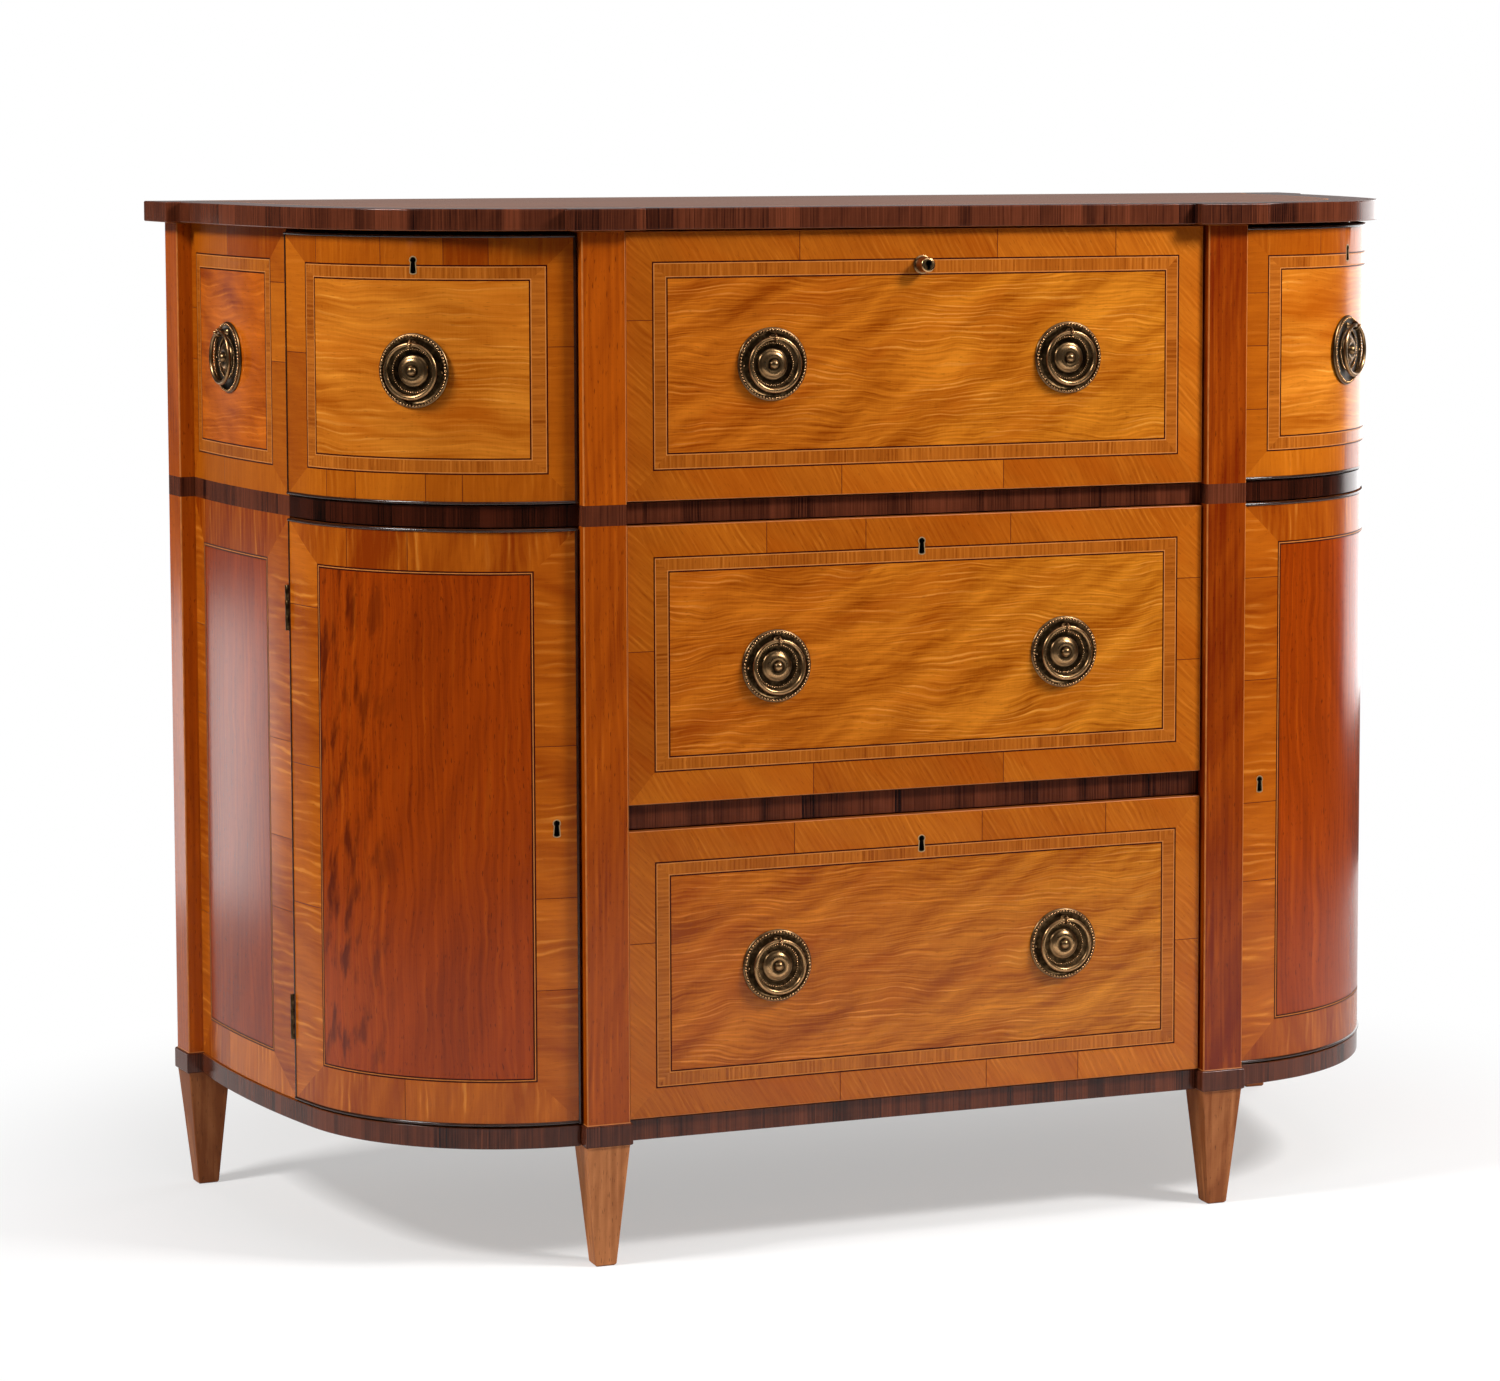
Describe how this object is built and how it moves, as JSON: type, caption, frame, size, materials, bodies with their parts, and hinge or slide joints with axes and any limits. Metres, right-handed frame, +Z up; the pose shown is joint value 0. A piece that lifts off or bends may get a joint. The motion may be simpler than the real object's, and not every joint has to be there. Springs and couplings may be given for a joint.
{
  "type": "secretary cabinet",
  "caption": "Bow-ended cabinet on tapered legs: plain drawers below a secretaire drawer with a falling front, curved end drawers and cupboard doors, ring handles.",
  "frame": {"origin": "centre of the bounding box, on the floor", "axes": "+Z up, +X to the viewer's right along the front, -Y out of the front"},
  "size_m": [1.135, 0.471, 0.89],
  "materials": {
    "rosewood": "crossbanded dark rosewood, worn satin polish",
    "satinwood": "figured satinwood veneer, satin polish",
    "stile_wood": "straight-grained orange-brown wood, satin polish",
    "door_wood": "red-brown veneer, satin polish",
    "carcase_wood": "plain unpolished softwood and oak",
    "brass": "patinated brass"
  },
  "bodies": {
    "cabinet": {"top_board": "rosewood", "bottom_board": "carcase_wood", "back_panel": "carcase_wood", "base_band_left": "rosewood", "base_band_centre": "rosewood", "base_band_right": "rosewood", "centre_divider_upper": "rosewood", "centre_divider_lower": "rosewood", "front_stile_left": "stile_wood", "front_stile_right": "stile_wood", "rear_post_left": "stile_wood", "rear_post_right": "stile_wood", "side_panel_left": "door_wood", "side_panel_right": "door_wood", "partition_left": "carcase_wood", "partition_right": "carcase_wood", "side_divider_left": "rosewood", "side_divider_right": "rosewood", "shelf_left": "carcase_wood", "shelf_right": "carcase_wood", "drawer_guide_left": "carcase_wood", "drawer_guide_right": "carcase_wood", "hinge_left_upper": "brass", "hinge_right_upper": "brass", "hinge_left_lower": "brass", "hinge_right_lower": "brass", "plate_side_left": "brass", "plate_side_right": "brass"},
    "secretaire_drawer": {"secretaire_tray": "carcase_wood", "secretaire_pigeonholes": "satinwood"},
    "secretaire_fall": {"secretaire_fall": "satinwood", "secretaire_lock": "brass", "plate_secretaire_left": "brass", "plate_secretaire_right": "brass"},
    "middle_drawer": {"middle_drawer_front": "satinwood", "middle_drawer_box": "carcase_wood", "plate_middle_left": "brass", "plate_middle_right": "brass"},
    "bottom_drawer": {"bottom_drawer_front": "satinwood", "bottom_drawer_box": "carcase_wood", "plate_bottom_left": "brass", "plate_bottom_right": "brass"},
    "left_drawer": {"left_drawer_front": "satinwood", "left_drawer_box": "carcase_wood", "plate_drawer_left": "brass"},
    "right_drawer": {"right_drawer_front": "satinwood", "right_drawer_box": "carcase_wood", "plate_drawer_right": "brass"},
    "left_door": {"door_left": "door_wood"},
    "right_door": {"door_right": "door_wood"},
    "secretaire_left_ring": {"ring_secretaire_left": "brass"},
    "secretaire_right_ring": {"ring_secretaire_right": "brass"},
    "middle_left_ring": {"ring_middle_left": "brass"},
    "middle_right_ring": {"ring_middle_right": "brass"},
    "bottom_left_ring": {"ring_bottom_left": "brass"},
    "bottom_right_ring": {"ring_bottom_right": "brass"},
    "drawer_left_ring": {"ring_drawer_left": "brass"},
    "drawer_right_ring": {"ring_drawer_right": "brass"},
    "side_left_ring": {"ring_side_left": "brass"},
    "side_right_ring": {"ring_side_right": "brass"}
  },
  "joints": [
    {"name": "secretaire_slide", "type": "slide", "parent": "cabinet", "child": "secretaire_drawer", "axis": [0, -1, 0], "range_m": [0, 0.25]},
    {"name": "secretaire_fall_hinge", "type": "hinge", "parent": "secretaire_drawer", "child": "secretaire_fall", "pos_m": [0, -0.21483, 0.6463], "axis": [1, 0, 0], "range_deg": [0, 90]},
    {"name": "middle_drawer_slide", "type": "slide", "parent": "cabinet", "child": "middle_drawer", "axis": [0, -1, 0], "range_m": [0, 0.28]},
    {"name": "bottom_drawer_slide", "type": "slide", "parent": "cabinet", "child": "bottom_drawer", "axis": [0, -1, 0], "range_m": [0, 0.28]},
    {"name": "left_drawer_slide", "type": "slide", "parent": "cabinet", "child": "left_drawer", "axis": [0, -1, 0], "range_m": [0, 0.25]},
    {"name": "left_door_hinge", "type": "hinge", "parent": "cabinet", "child": "left_door", "pos_m": [-0.50836, -0.03276, 0.37525], "axis": [0, 0, -1], "range_deg": [0, 95]},
    {"name": "right_drawer_slide", "type": "slide", "parent": "cabinet", "child": "right_drawer", "axis": [0, -1, 0], "range_m": [0, 0.25]},
    {"name": "right_door_hinge", "type": "hinge", "parent": "cabinet", "child": "right_door", "pos_m": [0.50836, -0.03276, 0.37525], "axis": [0, 0, 1], "range_deg": [0, 95]},
    {"name": "secretaire_left_ring_hinge", "type": "hinge", "parent": "secretaire_fall", "child": "secretaire_left_ring", "pos_m": [-0.136, -0.22293, 0.7805], "axis": [-1, 0, 0], "range_deg": [0, 90]},
    {"name": "secretaire_right_ring_hinge", "type": "hinge", "parent": "secretaire_fall", "child": "secretaire_right_ring", "pos_m": [0.136, -0.22293, 0.7805], "axis": [-1, 0, 0], "range_deg": [0, 90]},
    {"name": "middle_left_ring_hinge", "type": "hinge", "parent": "middle_drawer", "child": "middle_left_ring", "pos_m": [-0.133, -0.22293, 0.52525], "axis": [-1, 0, 0], "range_deg": [0, 90]},
    {"name": "middle_right_ring_hinge", "type": "hinge", "parent": "middle_drawer", "child": "middle_right_ring", "pos_m": [0.133, -0.22293, 0.52525], "axis": [-1, 0, 0], "range_deg": [0, 90]},
    {"name": "bottom_left_ring_hinge", "type": "hinge", "parent": "bottom_drawer", "child": "bottom_left_ring", "pos_m": [-0.133, -0.22293, 0.26875], "axis": [-1, 0, 0], "range_deg": [0, 90]},
    {"name": "bottom_right_ring_hinge", "type": "hinge", "parent": "bottom_drawer", "child": "bottom_right_ring", "pos_m": [0.133, -0.22293, 0.26875], "axis": [-1, 0, 0], "range_deg": [0, 90]},
    {"name": "drawer_left_ring_hinge", "type": "hinge", "parent": "left_drawer", "child": "drawer_left_ring", "pos_m": [-0.43764, -0.17204, 0.77865], "axis": [-0.7738, 0.6334, 0], "range_deg": [0, 90]},
    {"name": "drawer_right_ring_hinge", "type": "hinge", "parent": "right_drawer", "child": "drawer_right_ring", "pos_m": [0.43764, -0.17204, 0.77865], "axis": [-0.7738, -0.6334, 0], "range_deg": [0, 90]},
    {"name": "side_left_ring_hinge", "type": "hinge", "parent": "cabinet", "child": "side_left_ring", "pos_m": [-0.53485, 0.08822, 0.77865], "axis": [-0.1268, 0.9919, 0], "range_deg": [0, 90]},
    {"name": "side_right_ring_hinge", "type": "hinge", "parent": "cabinet", "child": "side_right_ring", "pos_m": [0.53485, 0.08822, 0.77865], "axis": [-0.1268, -0.9919, 0], "range_deg": [0, 90]}
  ]
}
